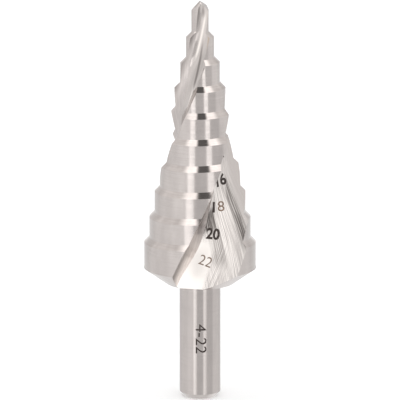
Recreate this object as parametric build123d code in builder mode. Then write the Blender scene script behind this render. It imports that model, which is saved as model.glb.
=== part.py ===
from build123d import *
import math
import os

# Step drill in millimetres. It stands on its shank end, with the tip up along +Z.
# Ten steps from 4 to 22 mm, each 2 mm wider than the one before, with 45 degree shoulders.

# Shank
shank_diameter = 8.0
shank_length = 22.7
shank_chamfer = 1.0

# Steps
first_diameter = 4.0
diameter_step = 2.0
step_count = 10
step_pitch = 5.045
shoulder_angle = 45.0
widest_land_length = 5.4
pilot_length = 5.84

# Cone and flat at the back of the widest step
back_cone_length = 3.1
back_flat_diameter = 13.2

# Split point: behind each lip the flank breaks into a steeper facet
point_angle = 118.0
split_facet_angle = 50.0
split_facet_rise_angle = 10.0
split_facet_setback = 0.1

# Relief: lands, shoulders and point fall away behind the cutting edges
first_land_relief = 0.32
last_land_relief = 0.13
shoulder_relief = 0.52
point_relief = 0.3
relief_lead_angle = 8.0

# Flutes. The lead is the length of one full turn. The foot is the corner where the rake face
# meets the floor: what lies inside it is the web. A hollow is a share of the floor's width.
flute_count = 2
edge_angle_at_tip = -4.0
flute_lead_at_tip = 64.7
flute_lead_at_back = 158.8
rake_angle = 12.0
flute_angle_at_tip = 88.0
flute_angle_at_back = 76.0
foot_radius_at_tip = 0.86
foot_radius_at_back = 7.4
foot_angle = 16.5
foot_angle_at_back = -5.6
floor_hollow_ratio_at_tip = 0.166
floor_hollow_ratio_at_back = 0.036
flute_sections = 16

# The cutters reach past the ends of the drill, and past its radius by a ratio
cutter_reach = 2.0
cutter_radius_ratio = 1.2
facet_cutter_size = 8.0

# Levels and radii that follow from the sizes above
radius_step = diameter_step / 2
widest_radius = first_diameter / 2 + radius_step * (step_count - 1)
shoulder_slope = math.tan(math.radians(shoulder_angle))
point_slope = math.tan(math.radians(point_angle / 2))
widest_land_bottom = shank_length + back_cone_length
widest_land_top = widest_land_bottom + widest_land_length
pilot_bottom = widest_land_top + step_pitch * (step_count - 2) + radius_step / shoulder_slope
tip_height = pilot_bottom + pilot_length


def edge_direction(height):
    """Angle of the first cutting edge at a height, in degrees from +X."""
    below_tip = tip_height - height
    tip_twist = 360 / flute_lead_at_tip
    twist_change = (360 / flute_lead_at_back - tip_twist) / (tip_height - widest_land_bottom)
    return edge_angle_at_tip - 90 - tip_twist * below_tip - twist_change * below_tip**2 / 2


def outline_radius(height):
    """Radius of the smooth cone that the corners of the steps lie on."""
    on_cone = widest_radius - (height - widest_land_top) / step_pitch * radius_step
    return min(max(on_cone, first_diameter / 2), widest_radius)


def between(at_tip, at_back, share):
    """Value that changes evenly from the tip to the back of the flutes."""
    return at_tip + (at_back - at_tip) * share


def polar_point(radius, angle):
    """Point of a flat section at a radius and at an angle in degrees."""
    return Vector(radius, 0).rotate(Axis.Z, angle)


# Each step is a cylinder under a cone. Both are ground about two centres, one on either side of
# the axis, so that they are full size at the two cutting edges and fall away behind them.
step_bodies = []
for step in range(step_count):
    radius = first_diameter / 2 + radius_step * step
    land_relief = between(first_land_relief, last_land_relief, step / (step_count - 1))
    if step == 0:
        slope = point_slope
        cone_relief = point_relief
        corner = tip_height - (radius - point_relief) / slope
    else:
        slope = shoulder_slope
        cone_relief = shoulder_relief
        corner = widest_land_top + step_pitch * (step_count - 1 - step)
    cylinder_length = corner - widest_land_bottom + radius
    cone_length = corner - widest_land_bottom + radius / slope
    relief_direction = edge_direction(corner) + relief_lead_angle
    on_edges = Plane.XY.rotated((0, 0, relief_direction)).offset(widest_land_bottom)
    with BuildPart(on_edges) as step_body:
        for side, how in ((1, Mode.ADD), (-1, Mode.INTERSECT)):
            with Locations((0, side * land_relief, 0)):
                Cylinder(radius, cylinder_length, align=(Align.CENTER, Align.CENTER, Align.MIN), mode=how)
        for side in (1, -1):
            with Locations((0, side * cone_relief, 0)):
                Cone(
                    cone_length * slope,
                    0,
                    cone_length,
                    align=(Align.CENTER, Align.CENTER, Align.MIN),
                    mode=Mode.INTERSECT,
                )
    step_bodies.append(step_body.part)

# One flute cutter, lofted through sections that turn with the cutting edge. A section has the
# hooked rake face, the hollow floor that rises to the heel, and an arc outside the drill.
with BuildPart() as flute_cutter:
    for section in range(flute_sections):
        share = section / (flute_sections - 1)
        height = between(tip_height + cutter_reach, shank_length - cutter_reach, share)
        radius = outline_radius(height)
        outside = radius * cutter_radius_ratio
        flute_angle = between(flute_angle_at_tip, flute_angle_at_back, share)
        runout = max(0, widest_land_top - height) / (widest_land_top - shank_length)
        foot_radius = between(foot_radius_at_tip, foot_radius_at_back, share)
        foot = polar_point(foot_radius, between(foot_angle, foot_angle_at_back, runout))
        rake_direction = Vector(-1, 0).rotate(Axis.Z, rake_angle)
        rake_end = Vector(radius, 0) - rake_direction * (outside - radius)
        heel_end = polar_point(outside, flute_angle)
        hollow_ratio = between(floor_hollow_ratio_at_tip, floor_hollow_ratio_at_back, share)
        hollow = hollow_ratio * (heel_end - foot).length
        with BuildSketch(Plane.XY.rotated((0, 0, edge_direction(height))).offset(height)):
            with BuildLine():
                TangentArc(rake_end, foot, tangent=rake_direction)
                SagittaArc(foot, heel_end, hollow)
                ThreePointArc(heel_end, polar_point(outside, flute_angle / 2), rake_end)
            make_face()
    loft()

# The space above the steeper facet behind one lip. The facet rises towards the lip's outer corner.
behind_lip = Vector(0, -split_facet_setback, 0).rotate(Axis.Z, edge_direction(tip_height))
slope_along_lip = math.tan(math.radians(split_facet_rise_angle))
slope_behind_lip = math.tan(math.radians(split_facet_angle))
facet_normal = Vector(-slope_along_lip, -slope_behind_lip, 1)
facet_plane = Plane(
    origin=behind_lip + Vector(0, 0, tip_height),
    z_dir=facet_normal.rotate(Axis.Z, edge_direction(tip_height)),
)
with BuildPart(facet_plane) as split_cutter:
    Box(
        facet_cutter_size,
        facet_cutter_size,
        facet_cutter_size,
        align=(Align.CENTER, Align.CENTER, Align.MIN),
    )

with BuildPart() as step_drill:
    with BuildSketch(Plane.XZ):
        with BuildLine():
            Polyline(
                (0, 0),
                (shank_diameter / 2 - shank_chamfer, 0),
                (shank_diameter / 2, shank_chamfer),
                (shank_diameter / 2, shank_length),
                (back_flat_diameter / 2, shank_length),
                (widest_radius - last_land_relief / 2, widest_land_bottom),
                (0, widest_land_bottom),
                close=True,
            )
        make_face()
    revolve(axis=Axis.Z)
    for step_solid in step_bodies:
        add(step_solid)
    with PolarLocations(0, flute_count):
        add(flute_cutter.part, mode=Mode.SUBTRACT)
        add(split_cutter.part, mode=Mode.SUBTRACT)

step_drill.part.label = "step_drill"
os.makedirs("parts", exist_ok=True)
export_step(step_drill.part, "parts/step_drill.step")
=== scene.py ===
import math

import bmesh
import bpy
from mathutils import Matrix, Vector
from mathutils.bvhtree import BVHTree


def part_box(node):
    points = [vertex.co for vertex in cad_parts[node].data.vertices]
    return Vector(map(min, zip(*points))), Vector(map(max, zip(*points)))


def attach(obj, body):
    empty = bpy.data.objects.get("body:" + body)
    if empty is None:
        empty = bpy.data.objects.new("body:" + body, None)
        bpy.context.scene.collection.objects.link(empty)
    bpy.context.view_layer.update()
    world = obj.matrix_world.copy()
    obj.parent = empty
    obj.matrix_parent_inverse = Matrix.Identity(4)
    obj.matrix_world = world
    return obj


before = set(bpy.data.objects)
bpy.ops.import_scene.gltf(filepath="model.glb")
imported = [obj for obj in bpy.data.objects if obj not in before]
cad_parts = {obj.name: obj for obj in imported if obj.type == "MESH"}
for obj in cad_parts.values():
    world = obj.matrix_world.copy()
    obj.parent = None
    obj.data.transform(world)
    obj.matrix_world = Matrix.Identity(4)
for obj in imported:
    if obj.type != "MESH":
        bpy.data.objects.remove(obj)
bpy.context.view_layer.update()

MM = 0.001

# Sizes of the drill that the finishes follow, in metres
SHANK_LENGTH = 22.7 * MM
WIDEST_LAND_BOTTOM = 25.8 * MM
WIDEST_LAND_TOP = 31.2 * MM
STEP_PITCH = 5.045 * MM
RADIUS_STEP = 1.0 * MM
STEP_COUNT = 10
TIP_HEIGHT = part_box("step_drill")[1][2]
WIDEST_RADIUS = 11.0 * MM
LIP_HEIGHT = 77.2 * MM

# The leading edge of a flute, in degrees round the axis, falls back from the tip like this
EDGE_AT_TIP = -94.0
EDGE_TURN = 5.564
EDGE_TURN_LOSS = 0.0313

# How far a face may lie from a ground surface's ideal place and still belong to it, in metres
SHANK_MARGIN = 0.1 * MM
LAND_MARGIN = 0.45 * MM
# How a face must point to belong to one: parts of its normal up, outward and sideways
BACK_UPWARD = -0.5
LAND_UPWARD = 0.05
LAND_OUTWARD = 0.98
SHOULDER_UPWARD = (0.66, 0.75)
SHOULDER_OUTWARD = 0.6
RAKE_SIDEWAYS = 0.6
AXIS_RADIUS = 1e-6

# How the marks in a flute slant: millimetres across it for each millimetre of height
WHEEL_SLANT = 0.395
HATCH_SLANT = -0.15
RIDGE_SLANT = -0.105
DRIFT = 0.02

# Colours, linear
STEEL = (0.565, 0.520, 0.500)
SHANK_SHADE = 0.93
SHOULDER_STEEL = (0.572, 0.518, 0.492)
UPPER_FLUTE = ((0.51, 0.468, 0.449), (0.64, 0.59, 0.565))
# Painted highlight: the lower flute's pale colour and the smooth part's colour are far paler than the steel,
# the soft box's reflection painted in
LOWER_FLUTE_HIGHLIT = ((0.50, 0.46, 0.441), (0.89, 0.84, 0.80))
SMOOTH_FLUTE_HIGHLIGHT = (0.90, 0.85, 0.81)
# Painted shade: the dark colour painted in wedges and bands in a flute
PAINTED_DARK = (0.09, 0.075, 0.068)
# Painted highlights: pale colours for a band on a flute's flank and a gleaming band near the tip
FLANK_HIGHLIGHT = (0.92, 0.86, 0.82)
GLEAM = (0.93, 0.87, 0.82)
STRAW = (0.42, 0.29, 0.17)
UPPER_RAKE = ((0.50, 0.46, 0.443), (0.60, 0.552, 0.531))
# Painted highlight in the lower rake's lighter colours, and painted shade in the rake's shade colour
LOWER_RAKE_HIGHLIT = ((0.70, 0.650, 0.627), (0.86, 0.802, 0.775))
RAKE_SHADE = (0.14, 0.124, 0.116)
INK = (0.022, 0.013, 0.010)
FADED_INK = (0.17, 0.115, 0.085)

# Studio: how bright the tent, its soft box and its ceiling are
TENT_LIGHT = 0.985
SOFT_BOX_LIGHT = 1.22
CEILING_LIGHT = 0.95
# Right of ARCH_START the soft box's top edge comes down by ARCH_DROP degrees for each square degree
ARCH_START = 10.0
ARCH_DROP = 0.00568
# Floor: its side in metres, how white it is, and how much it glows for the camera
FLOOR_SIZE = 6
FLOOR_WHITE = 0.93
FLOOR_GLOW = 0.16

# Camera: distance, height and far limit in metres, tilt in radians and lens in millimetres
CAMERA_DISTANCE = 1.15693
CAMERA_HEIGHT = 0.29355
CAMERA_TILT = 0.21653
CAMERA_LENS = 548.6
CAMERA_REACH = 20

# Digits are made thick, then flattened on to the steel: 0.028 mm thick, with 0.008 mm standing proud
DIGIT_DEPTH = 0.1 * MM
DIGIT_FLATTENING = 0.14
DIGIT_SINK = 0.006 * MM
DIGIT_CURVE_STEPS = 4
LONGEST_EDGE = 0.35 * MM
WELD_DISTANCE = 0.01 * MM
FLAT_LIMIT = 0.001 * MM
# Rays that look for the steel start this many millimetres from the axis and from the surface
RAY_RADIUS = 20
RAY_LIFT = 3


# ---------------------------------------------------------------- node helpers


class Nodes:
    """A node tree with short ways to add and link its nodes."""

    def __init__(self, tree):
        self.tree = tree
        tree.nodes.clear()

    def add(self, kind, settings=None, **inputs):
        node = self.tree.nodes.new(kind)
        for name, value in (settings or {}).items():
            setattr(node, name, value)
        for name, value in inputs.items():
            self.put(node, name.replace("_", " "), value)
        return node

    def put(self, node, socket, value):
        if isinstance(value, bpy.types.NodeSocket):
            self.tree.links.new(value, node.inputs[socket])
        else:
            node.inputs[socket].default_value = value

    def math(self, operation, first, second=0.0):
        node = self.add("ShaderNodeMath", {"operation": operation})
        self.put(node, 0, first)
        self.put(node, 1, second)
        return node.outputs[0]

    def product(self, first, *others):
        for other in others:
            first = self.math("MULTIPLY", first, other)
        return first

    def most(self, first, *others):
        for other in others:
            first = self.math("MAXIMUM", first, other)
        return first

    def line(self, value, slope, start):
        """start + slope * value."""
        return self.math("ADD", self.math("MULTIPLY", value, slope), start)

    def ramp_up(self, value, low, high):
        """0 at low, 1 at high and smooth between them. low may be the larger of the two."""
        node = self.add("ShaderNodeMapRange", {"interpolation_type": "SMOOTHSTEP"})
        self.put(node, "Value", value)
        self.put(node, "From Min", low)
        self.put(node, "From Max", high)
        return node.outputs["Result"]

    def band(self, value, low, high, soft):
        """1 between low and high, 0 outside, with soft edges."""
        rising = self.ramp_up(value, low - soft / 2, low + soft / 2)
        falling = self.ramp_up(value, high - soft / 2, high + soft / 2)
        return self.math("SUBTRACT", rising, falling)

    def mix(self, share, first, second):
        """Goes from first to second as share goes from 0 to 1, for plain numbers."""
        node = self.add("ShaderNodeMix", {"data_type": "FLOAT"})
        self.put(node, 0, share)
        self.put(node, 2, first)
        self.put(node, 3, second)
        return node.outputs[0]

    def tint(self, share, first, second):
        """Goes from one colour to another as share goes from 0 to 1."""
        node = self.add("ShaderNodeMix", {"data_type": "RGBA"})
        self.put(node, 0, share)
        for socket, value in ((6, first), (7, second)):
            self.put(node, socket, value if isinstance(value, bpy.types.NodeSocket) else (*value, 1))
        return node.outputs[2]

    def combine(self, x=0.0, y=0.0, z=0.0):
        return self.add("ShaderNodeCombineXYZ", X=x, Y=y, Z=z).outputs[0]

    def noise(self, vector, scale, detail=2.0, roughness=0.5):
        """Smooth noise from about 0.25 to 0.75, 0.5 on average."""
        node = self.add("ShaderNodeTexNoise", Scale=scale, Detail=detail, Roughness=roughness)
        self.put(node, "Vector", vector)
        return node.outputs["Fac"]

    def scaled(self, vector, x, y, z):
        node = self.add("ShaderNodeVectorMath", {"operation": "MULTIPLY"})
        self.put(node, 0, vector)
        node.inputs[1].default_value = (x, y, z)
        return node.outputs[0]


class Place(Nodes):
    """Nodes of a steel, with the point being shaded in millimetres."""

    def __init__(self, tree):
        super().__init__(tree)
        point = self.add("ShaderNodeTexCoord").outputs["Object"]
        self.point = self.scaled(point, 1 / MM, 1 / MM, 1 / MM)
        split = self.add("ShaderNodeSeparateXYZ", Vector=self.point)
        self.x, self.y, self.z = split.outputs
        self.measures = {"height": self.z}

    def area(self, **limits):
        """1 where every named measure is inside its limits and 0 outside.

        Two limits are a ramp, from 0 at the first to 1 at the second. Three are a band: low, high, softness.
        """
        shares = []
        for name, limit in limits.items():
            shape = self.ramp_up if len(limit) == 2 else self.band
            shares.append(shape(self.measures[name], *limit))
        return self.product(*shares)

    def radius(self):
        squares = self.math("ADD", self.math("POWER", self.x, 2.0), self.math("POWER", self.y, 2.0))
        return self.math("SQRT", squares)

    def turned(self, degrees):
        """The point turned back round the axis, so that a pattern in it twists with the height."""
        node = self.add("ShaderNodeVectorRotate", {"rotation_type": "Z_AXIS"})
        self.put(node, "Vector", self.point)
        self.put(node, "Angle", self.math("MULTIPLY", degrees, -math.pi / 180))
        return node.outputs[0]

    def edge_direction(self):
        """Degrees round the axis of a flute's leading edge at this height."""
        below = self.math("SUBTRACT", TIP_HEIGHT / MM, self.z)
        fall = self.math("MULTIPLY", below, -EDGE_TURN)
        square = self.math("MULTIPLY", self.math("POWER", below, 2.0), EDGE_TURN_LOSS)
        return self.math("ADD", self.math("ADD", fall, square), EDGE_AT_TIP)

    def across_flute(self):
        """Millimetres across a flute, from the line 45 degrees behind its leading edge."""
        slant = self.math("MULTIPLY", self.math("SUBTRACT", self.behind_edge(), 45.0), math.pi / 180)
        return self.math("MULTIPLY", self.radius(), self.math("SINE", slant))

    def slanted(self, across, slant):
        """A measure that stays the same along marks with this slant."""
        return self.math("ADD", across, self.math("MULTIPLY", self.z, slant))

    def behind_edge(self):
        """Degrees from a flute's leading edge round to this point, -30 to 150."""
        direction = self.math("MULTIPLY", self.math("ARCTAN2", self.y, self.x), 180 / math.pi)
        turned = self.math("SUBTRACT", direction, self.edge_direction())
        wrapped = self.math("FLOORED_MODULO", self.math("ADD", turned, 30.0), 180.0)
        return self.math("SUBTRACT", wrapped, 30.0)


# ---------------------------------------------------------------- studio


def build_studio():
    """A white light tent with its strip lights, soft box, overhead lights and the gaps between them."""
    world = bpy.data.worlds.new("studio")
    bpy.context.scene.world = world
    world.use_nodes = True
    n = Nodes(world.node_tree)
    direction = n.add("ShaderNodeTexCoord").outputs["Generated"]
    x, y, z = n.add("ShaderNodeSeparateXYZ", Vector=direction).outputs
    front = n.math("MULTIPLY", y, -1.0)
    azimuth = n.math("MULTIPLY", n.math("ARCTAN2", x, front), 180 / math.pi)
    elevation = n.math("MULTIPLY", n.math("ARCSINE", z), 180 / math.pi)
    past = n.math("MAXIMUM", n.math("SUBTRACT", azimuth, ARCH_START), 0.0)
    arch = n.math("ADD", elevation, n.math("MULTIPLY", n.math("POWER", past, 2.0), ARCH_DROP))

    light = TENT_LIGHT
    # Parts of the tent's walls: limits and softness in degrees, azimuth first, then how bright each is
    for side, low, high, soft, up, bottom, top, edge, strength in (
        # left wall, low front and low wall at the right rear
        (azimuth, -72, -36, 20, elevation, -80, 40, 10, 1.09),
        (azimuth, -50, 60, 14, elevation, -60, -19, 4, 1.45),
        (azimuth, 95, 165, 10, elevation, -60, -30, 4, 1.15),
        # dark gap in front, dim right wall and dim far left wall
        (azimuth, -18, 17, 8, elevation, -19, -5, 4, 0.73),
        (azimuth, 37, 76, 10, elevation, -19, -5, 4, 0.77),
        (azimuth, -104, -58, 14, elevation, -2, 15, 6, 0.88),
        # left strip light, and right strip light: what the lands show, then what the shank shows
        (azimuth, -37.2, -18.3, 3, elevation, -13.1, -9.0, 1, 1.90),
        (azimuth, -37.2, -25.5, 3, elevation, -17, -13.1, 1, 1.60),
        (azimuth, 19.5, 36, 3, elevation, -13.1, -9.0, 1, 1.90),
        (azimuth, 20.5, 27, 3, elevation, -17, -13.1, 1, 1.22),
        # dim back wall, in two halves that meet behind the drill
        (azimuth, 124, 200, 16, elevation, -19, -7, 3, 0.86),
        (azimuth, -200, -124, 16, elevation, -19, -7, 3, 0.86),
        # upper back wall, by the direction's y and z
        (y, 0.45, 2, 0.2, z, 0.10, 0.48, 0.16, 0.81),
    ):
        share = n.product(n.band(side, low, high, soft), n.band(up, bottom, top, edge))
        light = n.mix(share, light, strength)
    soft_box = n.product(
        n.band(azimuth, -32, 62, 14),
        n.ramp_up(elevation, -7, 0),
        n.ramp_up(arch, 36, 30),
    )
    light = n.mix(soft_box, light, SOFT_BOX_LIGHT)
    overhead = CEILING_LIGHT
    # Left and right overhead lights and the dark gap between them, by the direction's x
    for low, high, soft, strength in (
        (-0.445, -0.12, 0.16, 1.88),
        (0.22, 0.53, 0.16, 1.86),
        (-0.135, 0.215, 0.10, 0.155),
    ):
        overhead = n.mix(n.band(x, low, high, soft), overhead, strength)
    light = n.mix(n.ramp_up(z, 0.70, 0.86), light, overhead)
    tent = n.add("ShaderNodeBackground", Color=(1, 1, 1, 1), Strength=light)
    backdrop = n.add("ShaderNodeBackground", Color=(1, 1, 1, 1))
    choice = n.add("ShaderNodeMixShader")
    n.put(choice, 0, n.add("ShaderNodeLightPath").outputs["Is Camera Ray"])
    n.put(choice, 1, tent.outputs[0])
    n.put(choice, 2, backdrop.outputs[0])
    n.add("ShaderNodeOutputWorld", Surface=choice.outputs[0])


def build_floor():
    """A white floor. The steel reflects the tent in its place."""
    bpy.ops.mesh.primitive_plane_add(size=FLOOR_SIZE)
    floor = bpy.context.object
    floor.name = "floor"
    floor.visible_glossy = False
    material = bpy.data.materials.new("floor")
    material.use_nodes = True
    n = Nodes(material.node_tree)
    paper = n.add("ShaderNodeBsdfDiffuse", Color=(FLOOR_WHITE, FLOOR_WHITE, FLOOR_WHITE, 1))
    glow = n.add("ShaderNodeEmission", Color=(1, 1, 1, 1))
    seen = n.add("ShaderNodeLightPath").outputs["Is Camera Ray"]
    n.put(glow, "Strength", n.math("MULTIPLY", seen, FLOOR_GLOW))
    both = n.add("ShaderNodeAddShader")
    n.put(both, 0, paper.outputs[0])
    n.put(both, 1, glow.outputs[0])
    n.add("ShaderNodeOutputMaterial", Surface=both.outputs[0])
    floor.data.materials.append(material)


def build_camera():
    camera = bpy.data.objects.new("camera", bpy.data.cameras.new("camera"))
    bpy.context.collection.objects.link(camera)
    camera.location = (0, -CAMERA_DISTANCE, CAMERA_HEIGHT)
    camera.rotation_euler = (math.pi / 2 - CAMERA_TILT, 0, 0)
    camera.data.lens = CAMERA_LENS
    camera.data.clip_end = CAMERA_REACH
    bpy.context.scene.camera = camera


# ---------------------------------------------------------------- steel


def new_steel(name):
    material = bpy.data.materials.new(name)
    material.use_nodes = True
    return material, Place(material.node_tree)


def finish_steel(n, color, roughness, height, distance):
    """Puts a colour, a roughness and a bump height (0 to 1, distance in metres) on the metal."""
    shader = n.add("ShaderNodeBsdfPrincipled", Metallic=1.0)
    n.put(shader, "Base Color", color)
    n.put(shader, "Roughness", roughness)
    bump = n.add("ShaderNodeBump", Strength=1.0, Distance=distance, Height=height)
    n.put(shader, "Normal", bump.outputs[0])
    n.add("ShaderNodeOutputMaterial", Surface=shader.outputs[0])


def turned_steel(name, color, roughness, ring_depth, mottle):
    """Cylindrically ground steel: fine rings round the axis and faint cloudy stains."""
    material, n = new_steel(name)
    fine = n.noise(n.scaled(n.point, 0.12, 0.12, 9.0), scale=1.0, detail=3.0, roughness=0.6)
    broad = n.noise(n.scaled(n.point, 0.05, 0.05, 1.3), scale=1.0, detail=2.0)
    cloud = n.noise(n.scaled(n.point, 0.5, 0.5, 0.18), scale=1.0, detail=3.0)
    dark = tuple(c * (1 - mottle) for c in color)
    pale = tuple(c * (1 + mottle) for c in color)
    spread = n.math("ADD", n.product(fine, 0.45), n.product(cloud, 0.55))
    shade = n.ramp_up(spread, 0.3, 0.7)
    rough = n.line(n.math("SUBTRACT", broad, 0.5), 0.12, roughness)
    finish_steel(n, n.tint(shade, dark, pale), rough, fine, ring_depth)
    return material


def flute_marks(n, low_part, smooth, wall):
    """Brushed marks above and wheel marks below, and how deep they are (0 to 1)."""
    drift = n.product(n.z, DRIFT)
    hatched = n.slanted(n.measures["across"], HATCH_SLANT)
    streak = n.noise(n.combine(n.measures["wheel"], drift), scale=5.6, detail=3.0, roughness=0.6)
    hatch = n.noise(n.combine(hatched, drift), scale=5.2, detail=3.0, roughness=0.6)
    crossed = n.area(behind=(46, 66, 12), height=(33, 29))
    streak = n.mix(n.product(crossed, 0.65), streak, hatch)
    along = n.turned(n.edge_direction())
    brushed = n.noise(n.scaled(along, 4.0, 4.0, 0.05), scale=1.0, detail=2.0, roughness=0.5)
    quiet = n.most(n.product(wall, 0.9), n.product(smooth, 0.85))
    depth = n.product(low_part, n.math("SUBTRACT", 1.0, quiet))
    return n.mix(low_part, brushed, streak), depth


def flute_painted_shade(n, marks):
    """How dark the painted shade of a flute is (0 to 1): dark wedges low down and dark bands higher up,
    where the steel would reflect the tent's dark parts.
    """
    foot = n.area(wheel=(13.6, 13.0), height=(34.0, 38.4, 1.4), behind=(12, 18))
    trail = n.area(wheel=(11.5, 13.7, 1.2), height=(27.5, 34.5, 3))
    rim_band = n.area(wheel=(16.9, 18.3, 1.0), height=(31, 45, 3), behind=(50, 58))
    # Painted shade: dark wedges and a band low in the flute, streaked along the marks
    shade_wedges = n.most(foot, n.product(trail, 0.55), n.product(rim_band, 0.9))
    shade_wedges = n.product(shade_wedges, n.ramp_up(marks, 0.80, 0.42))
    heel = n.area(behind=(57, 67, 7), height=(61, 70, 5))
    gully = n.area(behind=(1, 7, 3), height=(73, 74.5))
    edge = n.area(behind=(9, 0), height=(57, 62))
    patch = n.area(behind=(38, 64, 22), height=(75.5, 77.2, 1.5))
    # Painted shade: dark bands at the heel and along the leading edge higher up, and near the tip
    shade_bands = n.most(
        n.product(heel, 0.62),
        n.product(edge, 0.5),
        n.product(gully, 0.35),
        n.product(patch, 0.5),
    )
    return n.product(n.most(shade_wedges, shade_bands), 0.95)


def flute_steel():
    """Ground flutes: brushed lengthwise above and wheel marks in the wide part, with painted shade in dark
    wedges and bands, and painted highlights that make the wide part and some bands paler.
    """
    material, n = new_steel("flute_steel")
    across = n.across_flute()
    n.measures["behind"] = n.behind_edge()
    n.measures["across"] = across
    n.measures["wheel"] = n.slanted(across, WHEEL_SLANT)
    n.measures["ridge"] = n.slanted(across, RIDGE_SLANT)
    low_part = n.area(height=(52.0, 42.0))
    wall = n.area(behind=(60, 70), wheel=(18.2, 19.4))
    # The smooth part low in the flute has quieter marks, and a painted highlight in its colour
    smooth = n.area(behind=(46, 38), height=(34, 31))
    marks, depth = flute_marks(n, low_part, smooth, wall)
    calm = n.mix(n.line(depth, 0.8, 0.2), 0.5, n.ramp_up(marks, 0.33, 0.67))
    lower = n.tint(smooth, n.tint(calm, *LOWER_FLUTE_HIGHLIT), SMOOTH_FLUTE_HIGHLIGHT)
    # Painted highlight: the flute is painted paler below, except on the wall, which keeps the darker colour
    # of the upper flute
    highlit_below = n.product(n.area(height=(50.0, 41.0)), n.math("SUBTRACT", 1.0, wall))
    color = n.tint(highlit_below, n.tint(calm, *UPPER_FLUTE), lower)
    # Painted shade: the dark wedges and bands go into the colour
    color = n.tint(flute_painted_shade(n, marks), color, PAINTED_DARK)
    # Painted highlights: a pale band on the flank and a gleaming band near the tip
    flank_highlight = n.area(behind=(55, 84, 6), height=(53, 61.5, 3))
    gleam = n.area(ridge=(-7.60, -7.20, 0.35), height=(67.5, 75.5, 2.5))
    temper = n.area(behind=(81, 95, 5), height=(68.5, 75.5, 3))
    color = n.tint(n.product(flank_highlight, 0.8), color, FLANK_HIGHLIGHT)
    color = n.tint(n.product(gleam, 0.72), color, GLEAM)
    color = n.tint(n.product(temper, 0.45), color, STRAW)
    rough = n.mix(smooth, n.line(calm, -0.04, 0.16), 0.32)
    height = n.product(marks, n.line(depth, 0.95, 0.05))
    finish_steel(n, color, rough, height, 0.04 * MM)
    return material


def rake_steel():
    """Rake faces: brushed along the flute, with painted shade towards the cutting edge and a painted
    highlight that makes the lower part lighter.
    """
    material, n = new_steel("rake_steel")
    along = n.turned(n.edge_direction())
    brushed = n.noise(n.scaled(along, 5.0, 5.0, 0.05), scale=1.0, detail=3.0, roughness=0.6)
    above = n.math("MAXIMUM", n.math("SUBTRACT", n.z, WIDEST_LAND_TOP / MM - 2.5), 0.0)
    narrowing = n.product(above, RADIUS_STEP / STEP_PITCH)
    rim = n.math("SUBTRACT", WIDEST_RADIUS / MM, narrowing)
    n.measures["inward"] = n.math("SUBTRACT", rim, n.radius())
    shade = n.ramp_up(brushed, 0.35, 0.65)
    # Painted highlight: the rake is painted lighter low down
    color = n.tint(n.area(height=(50.0, 41.0)), n.tint(shade, *UPPER_RAKE), n.tint(shade, *LOWER_RAKE_HIGHLIT))
    # Painted shade: darker towards the cutting edge low down and at heights 57 to 62 mm, and near the tip
    low_shade = n.area(inward=(4.0, 0.5), height=(37, 28))
    gully = n.area(height=(73, 74.5))
    rim_shade = n.area(inward=(1.1, -0.3), height=(57, 62))
    dark = n.most(n.product(low_shade, 0.95), n.product(gully, 0.3), n.product(rim_shade, 0.65))
    color = n.tint(dark, color, RAKE_SHADE)
    finish_steel(n, color, n.line(shade, -0.05, 0.33), brushed, 0.01 * MM)
    return material


def land_radius(height):
    """Radius of the step that reaches a height."""
    above = math.ceil((height - WIDEST_LAND_TOP) / STEP_PITCH)
    return WIDEST_RADIUS - RADIUS_STEP * min(max(above, 0), STEP_COUNT - 1)


def surface_kind(center, normal):
    """Which ground surface of the drill a face belongs to."""
    radius = math.hypot(center.x, center.y)
    outward = (normal.x * center.x + normal.y * center.y) / max(radius, AXIS_RADIUS)
    if center.z < SHANK_LENGTH + SHANK_MARGIN:
        return "shank"
    if normal.z < BACK_UPWARD and center.z < WIDEST_LAND_BOTTOM:
        return "back"
    upright = abs(normal.z) < LAND_UPWARD and outward > LAND_OUTWARD
    if upright and radius > land_radius(center.z) - LAND_MARGIN:
        return "land"
    if SHOULDER_UPWARD[0] < normal.z < SHOULDER_UPWARD[1] and outward > SHOULDER_OUTWARD:
        return "shoulder"
    sideways = (normal.y * center.x - normal.x * center.y) / max(radius, AXIS_RADIUS)
    if sideways > RAKE_SIDEWAYS and center.z < LIP_HEIGHT:
        return "rake"
    return "flute"


def dress_drill():
    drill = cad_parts["step_drill"]
    shank = tuple(c * SHANK_SHADE for c in STEEL)
    kinds = {}
    for kind, color, roughness, ring_depth, mottle in (
        ("land", STEEL, 0.15, 0.0015, 0.07),
        ("shank", shank, 0.15, 0.0012, 0.05),
        ("back", STEEL, 0.22, 0.0015, 0.05),
        ("shoulder", SHOULDER_STEEL, 0.09, 0.004, 0.10),
    ):
        kinds[kind] = turned_steel(kind + "_steel", color, roughness, ring_depth * MM, mottle)
    kinds["flute"] = flute_steel()
    kinds["rake"] = rake_steel()
    drill.data.materials.clear()
    for material in kinds.values():
        drill.data.materials.append(material)
    order = list(kinds)
    for face in drill.data.polygons:
        face.material_index = order.index(surface_kind(face.center, face.normal))


# ---------------------------------------------------------------- etched numbers


def etching(name, ink):
    """Laser-marked steel: a dull oxide film with a fine speckle, worn a little thin in places."""
    material, n = new_steel(name)
    grain = n.noise(n.point, scale=14.0, detail=3.0, roughness=0.7)
    wear = n.noise(n.point, scale=2.2, detail=3.0, roughness=0.6)
    share = n.ramp_up(n.math("ADD", n.product(grain, 0.5), n.product(wear, 0.5)), 0.42, 0.72)
    thin_ink = tuple(c * 2.2 + 0.02 for c in ink)
    shader = n.add("ShaderNodeBsdfPrincipled", Metallic=0.2)
    n.put(shader, "Base Color", n.tint(share, ink, thin_ink))
    n.put(shader, "Roughness", n.line(share, -0.15, 0.6))
    bump = n.add("ShaderNodeBump", Strength=0.5, Distance=0.004 * MM, Height=grain)
    n.put(shader, "Normal", bump.outputs[0])
    n.add("ShaderNodeOutputMaterial", Surface=shader.outputs[0])
    return material


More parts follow.
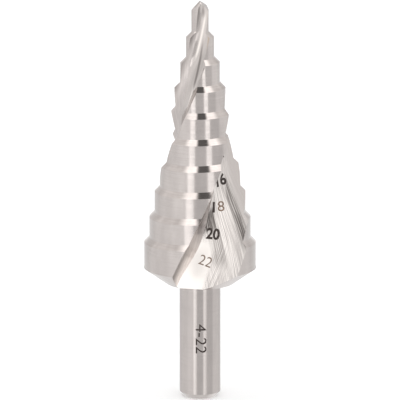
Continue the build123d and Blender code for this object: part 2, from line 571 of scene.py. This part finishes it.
def surface_tree():
    """The drill's surface, to lay the etching on."""
    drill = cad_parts["step_drill"]
    return BVHTree.FromPolygons(
        [v.co.copy() for v in drill.data.vertices], [tuple(p.vertices) for p in drill.data.polygons]
    )


def digit_form(name, digits, size, weight):
    """A mesh of digits, flat and closed, with edges short enough to bend round the drill."""
    curve = bpy.data.curves.new(name, "FONT")
    curve.body = digits
    curve.align_x = "CENTER"
    curve.align_y = "CENTER"
    curve.size = size
    curve.offset = weight
    curve.extrude = DIGIT_DEPTH
    curve.resolution_u = DIGIT_CURVE_STEPS
    text = bpy.data.objects.new(name, curve)
    mesh = bpy.data.meshes.new_from_object(text)
    bpy.data.objects.remove(text)
    form = bmesh.new()
    form.from_mesh(mesh)
    bmesh.ops.remove_doubles(form, verts=form.verts, dist=WELD_DISTANCE)
    bmesh.ops.triangulate(form, faces=form.faces)
    flat_edges = [
        e for e in form.edges
        if all(abs(v.co.z - e.verts[0].co.z) < FLAT_LIMIT for f in e.link_faces for v in f.verts)
    ]
    bmesh.ops.beautify_fill(form, faces=form.faces, edges=flat_edges, method="AREA")
    bmesh.ops.recalc_face_normals(form, faces=form.faces)
    for _ in range(2):
        bmesh.ops.triangulate(form, faces=form.faces)
        long_edges = [e for e in form.edges if e.calc_length() > LONGEST_EDGE]
        bmesh.ops.subdivide_edges(form, edges=long_edges, cuts=1)
    bmesh.ops.triangulate(form, faces=form.faces)
    return mesh, form


def etch(tree, name, digits, direction, height, lean, size, narrow, weight, material):
    """Marks digits on the steel that faces a direction (degrees round the axis) at a height.

    lean turns the line of digits down at its right end, narrow squeezes it and weight thickens it.
    """
    mesh, form = digit_form(name, digits, size, weight)
    turn = math.radians(direction)
    outward = Vector((math.cos(turn), math.sin(turn), 0))
    spot, normal, _, _ = tree.ray_cast(outward * RAY_RADIUS * MM + Vector((0, 0, height)), -outward)
    level = Vector((0, 0, 1)).cross(normal).normalized()
    rise = normal.cross(level)
    lean = math.radians(lean)
    right = level * math.cos(lean) - rise * math.sin(lean)
    up = normal.cross(right)
    for vertex in form.verts:
        start = spot + right * vertex.co.x * narrow + up * vertex.co.y + normal * RAY_LIFT * MM
        hit, hit_normal, _, _ = tree.ray_cast(start, -normal)
        vertex.co = hit + hit_normal * (DIGIT_FLATTENING * vertex.co.z - DIGIT_SINK)
    form.to_mesh(mesh)
    form.free()
    mesh.materials.clear()
    mesh.materials.append(material)
    piece = bpy.data.objects.new(name, mesh)
    bpy.context.collection.objects.link(piece)
    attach(piece, "root")


def edge_direction(height):
    """Degrees round the axis of the first flute's leading edge."""
    below = (TIP_HEIGHT - height) / MM
    return EDGE_AT_TIP - EDGE_TURN * below + EDGE_TURN_LOSS * below * below


def mark_sizes():
    """Step diameters in one flute, and the range of them on the shank."""
    tree = surface_tree()
    fresh = etching("etching_dark", INK)
    faded = etching("etching_faded", FADED_INK)
    for name, digits, height, behind, lean, size, narrow, weight, material in (
        ("22", "22", 28.2, 34.0, 20, 2.9, 0.92, -0.01, faded),
        ("20", "20", 33.4, 36.0, 10, 2.9, 0.92, 0.10, fresh),
        ("18_ten", "1", 38.5, 26.5, 4, 2.8, 1.2, 0.09, fresh),
        ("18_unit", "8", 38.5, 44.5, 4, 2.8, 1.2, 0.01, faded),
        ("16", "16", 43.4, 36.5, -6, 2.9, 1.2, 0.10, fresh),
        ("14", "14", 48.2, 42.0, -6, 2.7, 1.0, 0.0, fresh),
        ("12", "12", 53.2, 42.0, -6, 2.5, 0.9, 0.0, faded),
        ("10", "10", 58.2, 42.0, -6, 2.2, 0.85, 0.04, fresh),
        ("8", "8", 63.2, 44.0, -6, 2.0, 0.9, 0.0, faded),
    ):
        direction = edge_direction(height * MM) + behind + 180
        etch(
            tree, "size_" + name, digits, direction, height * MM,
            lean, size * MM, narrow, weight * MM, material,
        )
    etch(tree, "size_range", "4-22", -89.0, 12.2 * MM, 90, 3.0 * MM, 1.1, 0.0, fresh)


bpy.context.scene.view_settings.view_transform = "Standard"
build_studio()
build_floor()
build_camera()
dress_drill()
mark_sizes()
